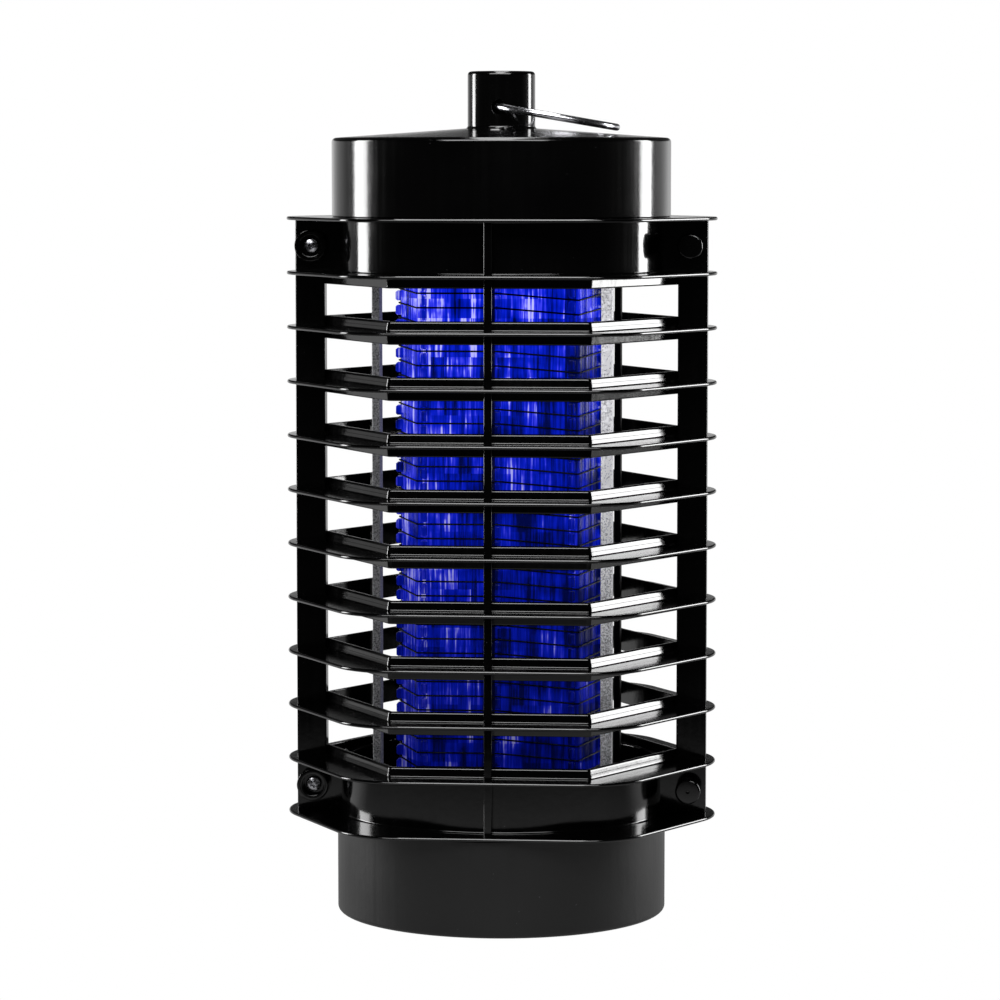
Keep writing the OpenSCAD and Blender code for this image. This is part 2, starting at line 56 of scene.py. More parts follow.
PLATE_COUNT = 12
PLATE_T = 1.0 * MM
PLATE_PITCH = (guard_high.z - guard_low.z - PLATE_T) / (PLATE_COUNT - 1)
PLATE_APOTHEM = -guard_low.y
PLATE_FRONT_HALF = 36.4 * MM
PLATE_CORNER_R = 21.1 * MM
BAND_APOTHEM = 40.5 * MM
BAND_FRONT_HALF = 28.0 * MM
BAND_CORNER_R = 1.75 * MM
BAND_H = 6.5 * MM
BAND_T = 1.5 * MM
OVAL_HALF_W = 46.0 * MM
OVAL_HALF_D = 40.5 * MM
OVAL_END_R = 38.0 * MM
OVAL_T = 1.8 * MM
PILLAR_X = (50.4 * MM, 58.9 * MM)
PILLAR_T = 2.5 * MM
BAR_W = 2.3 * MM
BAR_Y = (-44.5 * MM, -34.2 * MM)
BAR_END_Y = 1.0 * MM - OVAL_HALF_D
BAR_EDGE = 0.45 * MM
FILLET = 0.4 * MM
UPPER_EDGE = 0.7 * MM
LOWER_EDGE = 0.4 * MM
DRAFT = 0.19 * MM
INNER_EDGE = 0.25 * MM
STEP_HEIGHT = 0.08 * MM

BOSS_X = 54.0 * MM
HEAD_BOSS_R = 4.6 * MM
HEAD_BOSS_LEN = 6.5 * MM
HEAD_WELL_R = 3.0 * MM
HEAD_SEAT = 3.2 * MM
THREAD_BOSS_R = 3.6 * MM
THREAD_BOSS_LEN = 9.5 * MM
CLEAR_R = 1.75 * MM
SHANK_R = 1.25 * MM
SCREW_HEAD_R = 2.2 * MM
SCREW_HEAD_H = 1.7 * MM

COVER_R = cover_high.x
COVER_T = 2.0 * MM
COVER_RIM_Z = 221.3 * MM
CONE_RISE = 2.6 * MM
HANGER_R = 9.6 * MM
RING_HOLE_Z = 229.9 * MM
RING_HOLE_R = 2.0 * MM
RING_HOLE_Y = 4.0 * MM
POST_WEB_T = 1.8 * MM
INLET_Z = 209.0 * MM
GROMMET_R = 4.6 * MM
GROMMET_BORE_R = 3.0 * MM
LID_BOSS_X = 37.5 * MM
LID_BOSS_R = 3.4 * MM
COVER_SCREW_LEN = 24.0 * MM
RING_R = 17.7 * MM
RING_WIRE_R = 1.0 * MM
RING_END_Y = 5.5 * MM
RING_REST = math.radians(9.8)

CORE_HALF_W = 29.0 * MM
CORE_FRONT_HALF = 22.8 * MM
CORE_HALF_D = 12.5 * MM
CORE_T = 1.4 * MM
FLUTE_DEPTH = 0.32 * MM
FLUTES_FRONT = 12
FLUTES_SIDE = 4
COMB_X = 21.0 * MM
WIRE_GAP = 4.09 * MM
WIRE_R = 0.25 * MM
WIRE_STAND = 0.35 * MM
WINDING_TOP = core_high.z - 2.7 * MM


def plate_z(k):
    """Height of the middle of louvre plate k, counted from the bottom."""
    return guard_low.z + PLATE_T / 2 + k * PLATE_PITCH


# ---------------------------------------------------------------- mesh tools
class Shell:
    """Points and faces of one closed solid or several, gathered before the mesh is made."""

    def __init__(self):
        self.points = []
        self.faces = []

    def add(self, points, faces):
        start = len(self.points)
        self.points += [Vector(p) for p in points]
        self.faces += [[start + i for i in f] for f in faces]

    def loft(self, rings, closed=False):
        """Skins a row of rings with equal counts; an open row gets a cap at each end."""
        n = len(rings[0])
        faces = []
        for i in range(len(rings) if closed else len(rings) - 1):
            a, b = i * n, (i + 1) % len(rings) * n
            faces += [[a + j, a + (j + 1) % n, b + (j + 1) % n, b + j] for j in range(n)]
        if not closed:
            last = (len(rings) - 1) * n
            faces += [list(range(n))[::-1], list(range(last, last + n))]
        self.add([p for ring in rings for p in ring], faces)

    def lathe(self, profile, steps=64, place=Matrix.Identity(4)):
        """Turns a closed profile of (radius, height) points about the place's Z axis."""
        rings = []
        for i in range(steps):
            c, s = math.cos(math.tau * i / steps), math.sin(math.tau * i / steps)
            rings.append([place @ Vector((r * c, r * s, z)) for r, z in profile])
        self.loft(rings, closed=True)

    def tube(self, path, radius, sides=10, closed=False):
        """A round tube along a path of points."""
        rings = []
        count = len(path)
        for i, p in enumerate(path):
            before = path[(i - 1) % count] if closed or i else p
            after = path[(i + 1) % count] if closed or i < count - 1 else p
            along = (after - before).normalized()
            side = along.cross(Vector((0, 0, 1))).normalized()
            up = side.cross(along)
            rings.append([p + radius * (math.cos(a) * side + math.sin(a) * up)
                          for a in (math.tau * s / sides for s in range(sides))])
        self.loft(rings, closed)

    def mesh(self, name):
        made = bpy.data.meshes.new(name)
        made.from_pydata(self.points, [], self.faces)
        bm = bmesh.new()
        bm.from_mesh(made)
        bmesh.ops.remove_doubles(bm, verts=bm.verts, dist=2e-7)
        bmesh.ops.dissolve_degenerate(bm, edges=bm.edges, dist=1e-7)
        bmesh.ops.recalc_face_normals(bm, faces=bm.faces)
        bm.to_mesh(made)
        bm.free()
        return made


def link(mesh, name):
    obj = bpy.data.objects.new(name, mesh)
    scene.collection.objects.link(obj)
    return obj


def combined(name, base, joined=(), cut=()):
    """One mesh: base with the joined solids united and the cut ones taken away."""
    work = link(base.mesh(name), name)
    operands = [(s, "UNION") for s in joined] + [(s, "DIFFERENCE") for s in cut]
    tools = []
    for i, (shell, operation) in enumerate(operands):
        tool = link(shell.mesh(f"{name}_tool{i}"), f"{name}_tool{i}")
        modifier = work.modifiers.new(f"step{i}", "BOOLEAN")
        modifier.operation = operation
        modifier.solver = "MANIFOLD"
        modifier.object = tool
        tools.append(tool)
    bpy.context.view_layer.update()
    evaluated = work.evaluated_get(bpy.context.evaluated_depsgraph_get())
    made = bpy.data.meshes.new_from_object(evaluated)
    for o in (work, *tools):
        data = o.data
        bpy.data.objects.remove(o)
        bpy.data.meshes.remove(data)
    made.name = name
    return made


def piece(name, mesh, material, body="housing", replaces=(), sharp=32):
    """A shown piece with even shading: flats stay flat and rounded edges shade round."""
    obj = link(mesh, name)
    mesh.materials.clear()
    mesh.materials.append(material)
    mesh.shade_smooth()
    mesh.set_sharp_from_angle(angle=math.radians(sharp))
    weighted = obj.modifiers.new("even_normals", "WEIGHTED_NORMAL")
    weighted.keep_sharp = True
    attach(obj, body)
    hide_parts(*replaces)
    return obj


def arc(x, z, r, start, end, steps=4):
    """Points on an arc in a section, from start to end degrees."""
    angles = [math.radians(start + (end - start) * i / steps) for i in range(steps + 1)]
    return [(x + r * math.cos(a), z + r * math.sin(a)) for a in angles]


def rounded_box(low, high, radii, steps=3):
    """A box whose upright edges are rounded: radii from the -x -y edge, counter-clockwise."""
    corners = [(low[0], low[1], 180), (high[0], low[1], 270),
               (high[0], high[1], 0), (low[0], high[1], 90)]
    outline = []
    for (x, y, a), r in zip(corners, radii):
        cx = x + r if x == low[0] else x - r
        cy = y + r if y == low[1] else y - r
        outline += arc(cx, cy, r, a, a + 90, steps)
    shell = Shell()
    shell.loft([[(x, y, z) for x, y in outline] for z in (low[2], high[2])])
    return shell


def rod(x, z, profile, steps=48):
    """A turned solid whose axis runs forward from the joint face: profile of (radius, depth)."""
    shell = Shell()
    shell.lathe(profile, steps, Matrix.Translation((x, 0, z)) @ Matrix.Rotation(math.pi / 2, 4, "X"))
    return shell


# ---------------------------------------------------------------- outlines
CORNER_STEPS = 15


def unit(degrees):
    return Vector((math.cos(math.radians(degrees)), math.sin(math.radians(degrees))))


def hexagon(front_half, apothem, radius):
    """Gives the outline's point at corner k facing direction a, moved outwards by out."""
    w = front_half + apothem / math.tan(math.radians(60))
    corner = [Vector((w, 0)), Vector((front_half, apothem)), Vector((-front_half, apothem)),
              Vector((-w, 0)), Vector((-front_half, -apothem)), Vector((front_half, -apothem))]
    inner = [c - radius / math.sin(math.radians(60)) * unit(60 * k) for k, c in enumerate(corner)]
    return lambda k, a, out: inner[k % 6] + (radius + out) * unit(a)


def oval(half_w, half_d, end_r):
    """The same for an oval of four tangent arcs."""
    cx = half_w - end_r
    cy = (cx ** 2 - (half_d - end_r) ** 2) / (2 * (half_d - end_r))
    side = 90 - math.degrees(math.atan(cx / cy))

    def at(k, a, out):
        turn = (a + 180) % 360 - 180
        if abs(turn) <= side:
            return Vector((cx, 0)) + (end_r + out) * unit(a)
        if abs(turn) >= 180 - side:
            return Vector((-cx, 0)) + (end_r + out) * unit(a)
        return Vector((0, -cy if turn > 0 else cy)) + (half_d + cy + out) * unit(a)

    return at


plate_line = hexagon(PLATE_FRONT_HALF, PLATE_APOTHEM, PLATE_CORNER_R)
band_line = hexagon(BAND_FRONT_HALF, BAND_APOTHEM, BAND_CORNER_R)
wall_line = oval(OVAL_HALF_W, OVAL_HALF_D, OVAL_END_R)

# Stations along the front half, from the left joint to the right one: (corner, direction)
FRONT_STATIONS = [(k, 60 * k - 30 + 60 * i / CORNER_STEPS)
                  for k in range(3, 7) for i in range(CORNER_STEPS + 1)]
FRONT_STATIONS = [(3, 180.0)] + [s for s in FRONT_STATIONS if 180 < s[1] < 360] + [(6, 360.0)]


def on(line, section):
    """Ties a section's points to an outline."""
    return [(line, out, z) for out, z in section]


def swept(section):
    """Sweeps a section, whose points are tied to outlines, round the front half."""
    rings = []
    for k, a in FRONT_STATIONS:
        rings.append([(*line(k, a, out), z) for line, out, z in section])
    shell = Shell()
    shell.loft(rings)
    return shell


# ---------------------------------------------------------------- guard
def rim(z, up=1):
    """The plate's rounded outer edge."""
    return on(plate_line, [(o, z + up * dz) for o, dz in arc(-PLATE_T / 2, 0, PLATE_T / 2, -90, 90, 8)])


def band_side(edge, step=0.0):
    """Half a band from the plate round to its back: draft, a fine step if asked for, rounded edges."""
    half, flat, step_z = BAND_H / 2, PLATE_T / 2, BAND_H / 2 - 1.5 * MM
    points = arc(FILLET, flat + FILLET, FILLET, 270, 180)
    if step:
        points += [(-DRAFT / 2, step_z - step / 2), (-DRAFT / 2 - step, step_z + step / 2)]
    return (points + arc(-DRAFT - step - edge, half - edge, edge, 0, 90, 6)
            + arc(-BAND_T + INNER_EDGE, half - INNER_EDGE, INNER_EDGE, 90, 180, 3))


UPPER_SIDE = band_side(UPPER_EDGE, STEP_HEIGHT)
LOWER_SIDE = band_side(LOWER_EDGE)


def louvre(k):
    """A plate with its upright band: the section is a T lying on its side."""
    z = plate_z(k)
    return swept(rim(z) + on(band_line, [(o, z + dz) for o, dz in UPPER_SIDE]
                             + [(o, z - dz) for o, dz in reversed(LOWER_SIDE)]))


def end_section(k_outer, k_inner):
    """Two plates with the oval wall between them, and half a band on the inner one."""
    up = 1 if k_inner > k_outer else -1
    side = UPPER_SIDE if up > 0 else LOWER_SIDE
    outer, inner = plate_z(k_outer), plate_z(k_inner)
    gap, flat = abs(inner - outer), PLATE_T / 2

    def place(line, points):
        return on(line, [(o, outer + up * dz) for o, dz in points])

    return swept(
        rim(outer, up)
        + place(wall_line, arc(FILLET, flat + FILLET, FILLET, 270, 180)
                + arc(FILLET, gap - flat - FILLET, FILLET, 180, 90))
        + rim(inner, up)
        + place(band_line, [(o, gap + dz) for o, dz in side]
                + arc(-BAND_T - FILLET, gap + flat + FILLET, FILLET, 0, -90))
        + place(wall_line, arc(-OVAL_T + INNER_EDGE, gap + flat - INNER_EDGE, INNER_EDGE, 90, 180, 3)
                + arc(-OVAL_T + INNER_EDGE, -flat + INNER_EDGE, INNER_EDGE, 180, 270, 3)))


def head_boss(z):
    """A tube that takes a screw's head in its well, with a stepped lip."""
    lip, step_r, step = 0.35 * MM, 3.8 * MM, 0.3 * MM
    return rod(-BOSS_X, z, [(0, 0), (HEAD_BOSS_R, 0)]
               + arc(HEAD_BOSS_R - lip, HEAD_BOSS_LEN - lip, lip, 0, 90)
               + [(step_r, HEAD_BOSS_LEN), (step_r - step / 2, HEAD_BOSS_LEN - step)]
               + arc(HEAD_WELL_R + step, HEAD_BOSS_LEN - 2 * step, step, 90, 180)
               + [(HEAD_WELL_R, HEAD_SEAT), (0, HEAD_SEAT)])


def thread_boss(z):
    """A peg that takes a screw's thread, with a gate mark at the middle of its end."""
    lip, dimple = 0.6 * MM, 0.55 * MM
    return rod(BOSS_X, z, [(0, 0), (THREAD_BOSS_R, 0)]
               + arc(THREAD_BOSS_R - lip, THREAD_BOSS_LEN - lip, lip, 0, 90)
               + [(dimple, THREAD_BOSS_LEN), (dimple * 0.7, THREAD_BOSS_LEN - 0.35 * MM),
                  (0, THREAD_BOSS_LEN - 0.4 * MM)])


def bore(x, z, r, depth):
    return rod(x, z, [(0, -1 * MM), (r, -1 * MM), (r, depth), (0, depth)], 32)


def guard_half_mesh():
    tuck, seam, inset = 0.05 * MM, 0.12 * MM, 0.02 * MM
    low, high = guard_low.z + tuck, guard_high.z - tuck
    joined = [louvre(k) for k in range(2, PLATE_COUNT - 2)]
    joined.append(end_section(PLATE_COUNT - 1, PLATE_COUNT - 2))
    joined.append(rounded_box((-BAR_W / 2, BAR_Y[0], low), (BAR_W / 2, BAR_END_Y, high),
                              [BAR_EDGE] * 2 + [tuck] * 2))
    half_w, back_edge = BAR_W / 2 - 0.01 * MM, 0.2 * MM
    joined.append(rounded_box((-half_w, BAR_END_Y - 1 * MM, plate_z(1)),
                              (half_w, BAR_Y[1], plate_z(PLATE_COUNT - 2)), [tuck] * 2 + [back_edge] * 2))
    cut = []
    flange_x = OVAL_HALF_W - OVAL_T + 0.4 * MM
    for side in (-1, 1):
        x0, x1 = sorted((side * PILLAR_X[0], side * PILLAR_X[1]))
        joined.append(rounded_box((x0, -PILLAR_T, low), (x1, 0, high), [BAR_EDGE] * 2 + [seam] * 2))
        x0, x1 = sorted((side * flange_x, side * (PILLAR_X[1] - 1 * MM)))
        for k in (0, PLATE_COUNT - 2):
            joined.append(rounded_box((x0, -PILLAR_T + inset, plate_z(k)),
                                      (x1, -inset, plate_z(k + 1)), [seam] * 4))
    for z in boss_heights():
        joined += [head_boss(z), thread_boss(z)]
        cut += [bore(-BOSS_X, z, CLEAR_R, HEAD_SEAT + 0.2 * MM),
                bore(BOSS_X, z, SHANK_R, THREAD_BOSS_LEN - 1.5 * MM)]
    # Ejector mark on one pillar
    mark, mark_x, mark_r, depth = Shell(), 55.2 * MM, 1 * MM, 0.12 * MM
    mark.lathe([(0, depth), (mark_r, depth), (mark_r, 1 * MM), (0, 1 * MM)], 32,
               Matrix.Translation((mark_x, -PILLAR_T + 2 * depth, (plate_z(8) + plate_z(9)) / 2))
               @ Matrix.Rotation(math.pi / 2, 4, "X"))
    cut.append(mark)
    return combined("guard_half", end_section(0, 1), joined, cut)


def boss_heights():
    return [(plate_z(0) + plate_z(1)) / 2, (plate_z(PLATE_COUNT - 2) + plate_z(PLATE_COUNT - 1)) / 2]


# ---------------------------------------------------------------- screws
def screw_shell(length):
    """A pan-head screw along +Z with its seat at 0: threaded shank below, crowned head above."""
    thread, depth, point, plain, crown = 0.8 * MM, 0.22 * MM, 0.9 * MM, 1.3 * MM, 0.55 * MM
    profile = [(0, -length), (SHANK_R * 0.45, -length), (SHANK_R - depth, -length + point)]
    turns = int((length - point - plain) / thread)
    for i in range(turns):
        z = -length + point + i * thread
        profile += [(SHANK_R, z + thread / 2), (SHANK_R - depth, z + thread)]
    profile += [(SHANK_R - depth, 0), (SCREW_HEAD_R - 0.1 * MM, 0), (SCREW_HEAD_R, 0.12 * MM)]
    profile += arc(SCREW_HEAD_R - crown, SCREW_HEAD_H * 0.62 - crown + 0.35 * MM, crown, 0, 70)
    profile += [(SCREW_HEAD_R * 0.4, SCREW_HEAD_H - 0.08 * MM), (0, SCREW_HEAD_H)]
    shell = Shell()
    shell.lathe(profile, 48)
    return shell


def recess_shells():
    """A tapered cross for the driver."""
    made = []
    top, bottom = SCREW_HEAD_H + 0.3 * MM, SCREW_HEAD_H - 1.0 * MM
    for turn in (20, 110):
        shell = Shell()
        rings = []
        twist = Matrix.Rotation(math.radians(turn), 3, "Z")
        for z, length, width in ((bottom, 0.45 * MM, 0.28 * MM), (top, 1.45 * MM, 0.42 * MM)):
            ring = [(-length, -width), (length, -width), (length, width), (-length, width)]
            rings.append([twist @ Vector((x, y, z)) for x, y in ring])
        shell.loft(rings)
        made.append(shell)
    return made


def screws_mesh(name, places, length):
    one = combined(name + "_one", screw_shell(length), cut=recess_shells())
    bm = bmesh.new()
    for place in places:
        copy = one.copy()
        copy.transform(place)
        bm.from_mesh(copy)
        bpy.data.meshes.remove(copy)
    made = bpy.data.meshes.new(name)
    bm.to_mesh(made)
    bm.free()
    bpy.data.meshes.remove(one)
    return made


def guard_screw_places():
    forward = Matrix.Rotation(math.pi / 2, 4, "X")
    return [Matrix.Rotation(half, 4, "Z") @ Matrix.Translation((-BOSS_X, -HEAD_SEAT, z)) @ forward
            for half in (0, math.pi) for z in boss_heights()]


def cover_screw_places():
    return [Matrix.Translation((side * LID_BOSS_X, 0, core_high.z)) @ Matrix.Rotation(math.pi, 4, "X")
            for side in (-1, 1)]


# ---------------------------------------------------------------- cover, ring, tray
def cover_mesh():
    rim_r, post_r, fillet = 1.3 * MM, 1.1 * MM, 0.7 * MM
    base, top = cover_low.z, cover_high.z
    cone_z = COVER_RIM_Z + CONE_RISE
    lean = math.degrees(math.atan(CONE_RISE / (COVER_R - HANGER_R)))
    bore_r = HANGER_R - COVER_T - 0.2 * MM
    profile = [(COVER_R - 0.3 * MM, base), (COVER_R, base + 0.3 * MM)]
    profile += arc(COVER_R - rim_r, COVER_RIM_Z - rim_r, rim_r, 0, 90 - lean, 8)
    profile += arc(HANGER_R + fillet, cone_z + fillet, fillet, 270 - lean, 180, 5)
    profile += arc(HANGER_R - post_r, top - post_r, post_r, 0, 90, 8)
    profile += [(0, top), (0, top - COVER_T), (bore_r, top - COVER_T), (bore_r, cone_z - COVER_T),
                (COVER_R - COVER_T, COVER_RIM_Z - COVER_T), (COVER_R - COVER_T, base)]
    shell = Shell()
    shell.lathe(profile, 160)
    joined, cut = [], []
    boss_h, pilot_h = 21 * MM, 11 * MM
    for side in (-1, 1):
        boss, pilot = Shell(), Shell()
        place = Matrix.Translation((side * LID_BOSS_X, 0, base + 0.5 * MM))
        boss.lathe([(0, 0), (LID_BOSS_R, 0), (LID_BOSS_R, boss_h), (0, boss_h)], 40, place)
        pilot.lathe([(0, -1 * MM), (SHANK_R, -1 * MM), (SHANK_R, pilot_h), (0, pilot_h)], 32, place)
        joined.append(boss)
        cut.append(pilot)
    joined.append(rounded_box((-bore_r - 0.1 * MM, -POST_WEB_T / 2, cone_z - COVER_T - 0.3 * MM),
                              (bore_r + 0.1 * MM, POST_WEB_T / 2, top - COVER_T + 0.1 * MM), [0.05 * MM] * 4))
    reach, r, lip = 2 * HANGER_R, RING_HOLE_R, 0.35 * MM
    hole_profile = [(0, RING_HOLE_Y), (r, RING_HOLE_Y), (r, HANGER_R - lip),
                    (r + reach - HANGER_R + lip, reach), (0, reach)]
    for turn in (90, -90):
        hole = Shell()
        hole.lathe(hole_profile, 48, Matrix.Translation((0, 0, RING_HOLE_Z))
                   @ Matrix.Rotation(math.radians(turn), 4, "X"))
        cut.append(hole)
    inlet = Shell()
    inlet.lathe([(0, -4 * MM), (GROMMET_R, -4 * MM), (GROMMET_R, 4 * MM), (0, 4 * MM)], 48,
                Matrix.Translation((0, COVER_R, INLET_Z)) @ Matrix.Rotation(math.pi / 2, 4, "X"))
    return combined("top_cover_shell", shell, joined, cut + [inlet])


def ring_mesh():
    """A bright wire ring whose two ends sit inside the post, lying down towards +X."""
    wall_mid = HANGER_R - (COVER_T + 0.2 * MM) / 2
    offset = math.sqrt(RING_R ** 2 - wall_mid ** 2)
    place = (Matrix.Translation((0, 0, RING_HOLE_Z)) @ Matrix.Rotation(RING_REST, 4, "Y")
             @ Matrix.Translation((offset, 0, 0)))
    half_turn, steps = math.pi - math.asin(RING_END_Y / RING_R), 120
    shell = Shell()
    shell.loft([[place @ Matrix.Rotation(half_turn * (2 * i / steps - 1), 4, "Z") @ Vector((RING_R + x, 0, z))
                 for x, z in arc(0, 0, RING_WIRE_R, 0, 360, 24)[:-1]] for i in range(steps + 1)])
    return shell.mesh("ring")


def grommet_mesh():
    flange_r, flange_t, neck = 6.0 * MM, 1.6 * MM, 3.4 * MM
    soft = 0.6 * MM
    shell = Shell()
    shell.lathe([(GROMMET_BORE_R, -neck), (GROMMET_R - 0.1 * MM, -neck), (GROMMET_R - 0.1 * MM, 0),
                 (flange_r, 0)] + arc(flange_r - soft, flange_t - soft, soft, 0, 90)
                + arc(GROMMET_BORE_R + soft, flange_t - soft, soft, 90, 180), 64,
                Matrix.Translation((0, COVER_R + 0.1 * MM, INLET_Z)) @ Matrix.Rotation(-math.pi / 2, 4, "X"))
    return shell.mesh("grommet")


def tray_mesh():
    r, top, t = tray_high.x, tray_high.z, 1.8 * MM
    foot_r, foot_h, floor_t = r - 8 * MM, 0.8 * MM, 2.0 * MM
    edge, lip, inner = 1.3 * MM, 0.3 * MM, 1.2 * MM
    profile = [(0, foot_h), (foot_r - lip, foot_h), (foot_r, foot_h - lip), (foot_r + 0.1 * MM, 0)]
    profile += arc(r - edge, edge, edge, 270, 360, 8)
    profile += arc(r - lip, top - lip, lip, 0, 90) + arc(r - t + lip, top - lip, lip, 90, 180)
    profile += arc(r - t - inner, foot_h + floor_t + inner, inner, 0, -90)
    profile += [(0, foot_h + floor_t)]
    shell = Shell()
    shell.lathe(profile, 160)
    return shell.mesh("tray")


# ---------------------------------------------------------------- core
CORE = [Vector(p) for p in ((CORE_HALF_W, 0), (CORE_FRONT_HALF, CORE_HALF_D),
                            (-CORE_FRONT_HALF, CORE_HALF_D), (-CORE_HALF_W, 0),
                            (-CORE_FRONT_HALF, -CORE_HALF_D), (CORE_FRONT_HALF, -CORE_HALF_D))]
CORE_LEAN = math.degrees(math.atan((CORE_HALF_W - CORE_FRONT_HALF) / CORE_HALF_D))
CORNER_AIM = (90 + CORE_LEAN) / 2
CORNER_BEND = (90 - CORE_LEAN) / 2

# Where a wire bends or is held: place, outward direction, half of the bend, fall in turns, comb there
STOPS = [(CORE[0], 0, CORE_LEAN, 0.0, "side"),
         (CORE[5], -CORNER_AIM, CORNER_BEND, 0.19, None),
         (Vector((COMB_X, -CORE_HALF_D)), -90, 0, 0.17, "face"),
         (Vector((0, -CORE_HALF_D)), -90, 0, -0.04, "face"),
         (Vector((-COMB_X, -CORE_HALF_D)), -90, 0, -0.04, "face"),
         (CORE[4], CORNER_AIM - 180, CORNER_BEND, -0.04, None),
         (CORE[3], 180, CORE_LEAN, -0.16, "side"),
         (CORE[2], 180 - CORNER_AIM, CORNER_BEND, 0.04, None),
         (Vector((-COMB_X, CORE_HALF_D)), 90, 0, 0.07, "face"),
         (Vector((COMB_X, CORE_HALF_D)), 90, 0, 0.77, "face"),
         (CORE[1], CORNER_AIM, CORNER_BEND, 0.8, None)]
LEFT_STOP = 6
TURN_FALL = 2 * WIRE_GAP
TURNS = int((core_high.z - core_low.z - 8 * MM) / TURN_FALL)

# A comb's tooth: half width along the core, how far it stands out, and the gap it leaves for a wire
TOOTH = {"side": (1.5 * MM, 1.2 * MM, 1.3 * MM), "face": (0.95 * MM, 0.8 * MM, 1.04 * MM)}


def side_normal(k):
    """Outward direction of the core's side from corner k to the next."""
    along = (CORE[(k + 1) % 6] - CORE[k]).normalized()
    return Vector((along.y, -along.x))


def drawn_in(k, inset):
    """The core's corner k, moved inwards so that both sides lie inset deeper."""
    middle = (side_normal(k) + side_normal((k - 1) % 6)).normalized()
    return CORE[k] - inset / middle.dot(side_normal(k)) * middle


def core_outline(inset, fluted):
    """The core's hexagon, moved in by inset, with shallow upright flutes if asked for."""
    points = []
    for k in range(6):
        flutes = FLUTES_FRONT if k in (1, 4) else FLUTES_SIDE
        steps = flutes * 8
        for i in range(steps):
            share = i / steps
            groove = 1 - abs(math.sin(math.pi * share * flutes)) ** 0.7 if fluted else 0
            points.append(drawn_in(k, inset).lerp(drawn_in((k + 1) % 6, inset), share)
                          - groove * FLUTE_DEPTH * side_normal(k))
    return points


def light_cover_mesh():
    outer, inner = core_outline(0, True), core_outline(CORE_T, False)
    z0, z1 = core_low.z, core_high.z
    shell = Shell()
    corners = ((outer, z0), (outer, z1), (inner, z1), (inner, z0))
    shell.loft([[(*p, z) for p in line] for line, z in corners], closed=True)
    return shell.mesh("light_cover_shell")


def tooth(shell, stop, kind, low, high):
    """One comb tooth between two heights: a block with chamfered edges."""
    place, direction = stop[0], unit(stop[1])
    across = Vector((-direction.y, direction.x))
    half_w, out, _ = TOOTH[kind]
    root, foot, chamfer, soft = -0.9 * MM, 0.62 * out, 0.4 * MM, 0.2 * MM

    def ring(v, inset):
        top, bottom = high - inset, low + inset
        line = [(root, bottom), (foot - inset, bottom), (out - inset, bottom + chamfer),
                (out - inset, top - chamfer), (foot - inset, top), (root, top)]
        return [(*(place + u * direction + v * across), z) for u, z in line]

    shell.loft([ring(-half_w, soft), ring(-half_w + soft, 0), ring(half_w - soft, 0), ring(half_w, soft)])


def combs_mesh(kind):
    shell = Shell()
    slot = TOOTH[kind][2] / 2
    for i, stop in enumerate(STOPS):
        if stop[4] != kind:
            continue
        first = WINDING_TOP - stop[3] * TURN_FALL
        notches = 2 * TURNS + (2 if i <= LEFT_STOP else 0)
        top = min(first + WIRE_GAP / 2, core_high.z)
        if top - first - slot > 1 * MM:
            tooth(shell, stop, kind, first + slot, top)
        for n in range(notches):
            tooth(shell, stop, kind, first - (n + 1) * WIRE_GAP + slot, first - n * WIRE_GAP - slot)
    return shell.mesh("combs")


def wire_mesh(drop):
    """One bare wire, wound downwards from stop to stop, a little proud of the cover."""
    corners = []
    for n in range(len(STOPS) * TURNS + LEFT_STOP + 1):
        place, direction, bend, fall, _ = STOPS[n % len(STOPS)]
        out = WIRE_STAND / math.cos(math.radians(bend))
        height = WINDING_TOP - drop - (n // len(STOPS) + fall) * TURN_FALL
        corners.append(Vector((*(place + out * unit(direction)), height)))
    path, reach = [corners[0]], 0.4 * MM
    for before, corner, after in zip(corners, corners[1:], corners[2:]):
        start = corner + reach * (before - corner).normalized()
        end = corner + reach * (after - corner).normalized()
        path += [start, (start + 2 * corner + end) / 4, end]
    path.append(corners[-1])
    shell = Shell()
    shell.tube(path, WIRE_R, 8)
    return shell.mesh("wire")


def post_mesh(node):
    low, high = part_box(node)
    return rounded_box(low, high, [0.35 * MM] * 4).mesh(node)


# ---------------------------------------------------------------- materials
def add(tree, kind, inputs=None, **settings):
    """A shader node with its inputs set to values or linked to sockets."""
    made = tree.nodes.new("ShaderNode" + kind)
    for name, value in settings.items():
        setattr(made, name, value)
    for name, value in (inputs or {}).items():
        if isinstance(value, bpy.types.NodeSocket):
            tree.links.new(value, made.inputs[name])
        else:
            made.inputs[name].default_value = value
    return made


def start_material(name, **values):
    """A Principled material with its fixed values set on the shader itself."""
    made = bpy.data.materials.new(name)
    made.use_nodes = True
    shader = made.node_tree.nodes["Principled BSDF"]
    for socket, value in values.items():
        shader.inputs[socket.replace("_", " ")].default_value = value
    return made, made.node_tree, shader


def noise(tree, scale, stretch=(1, 1, 1), detail=3.0, roughness=0.5):
    """3-D noise in metres: scale is in cycles per metre."""
    place = add(tree, "TexCoord")
    mapped = add(tree, "Mapping", {"Vector": place.outputs["Object"], "Scale": stretch})
    made = add(tree, "TexNoise", {"Vector": mapped.outputs["Vector"], "Scale": scale, "Detail": detail,
                                  "Roughness": roughness})
    return made.outputs["Fac"]


def ramp(tree, factor, stops):
    made = add(tree, "ValToRGB", {"Fac": factor})
    elements = made.color_ramp.elements
    while len(elements) < len(stops):
        elements.new(0.5)
    for element, (at, colour) in zip(elements, stops):
        element.position = at
        element.color = (*colour, 1)
    return made.outputs["Color"]


def spread(tree, factor, low, high, start=0.3, end=0.7):
    """Maps start..end of a factor to low..high."""
    made = add(tree, "MapRange", {"Value": factor, "From Min": start, "From Max": end,
                                  "To Min": low, "To Max": high})
    return made.outputs["Result"]


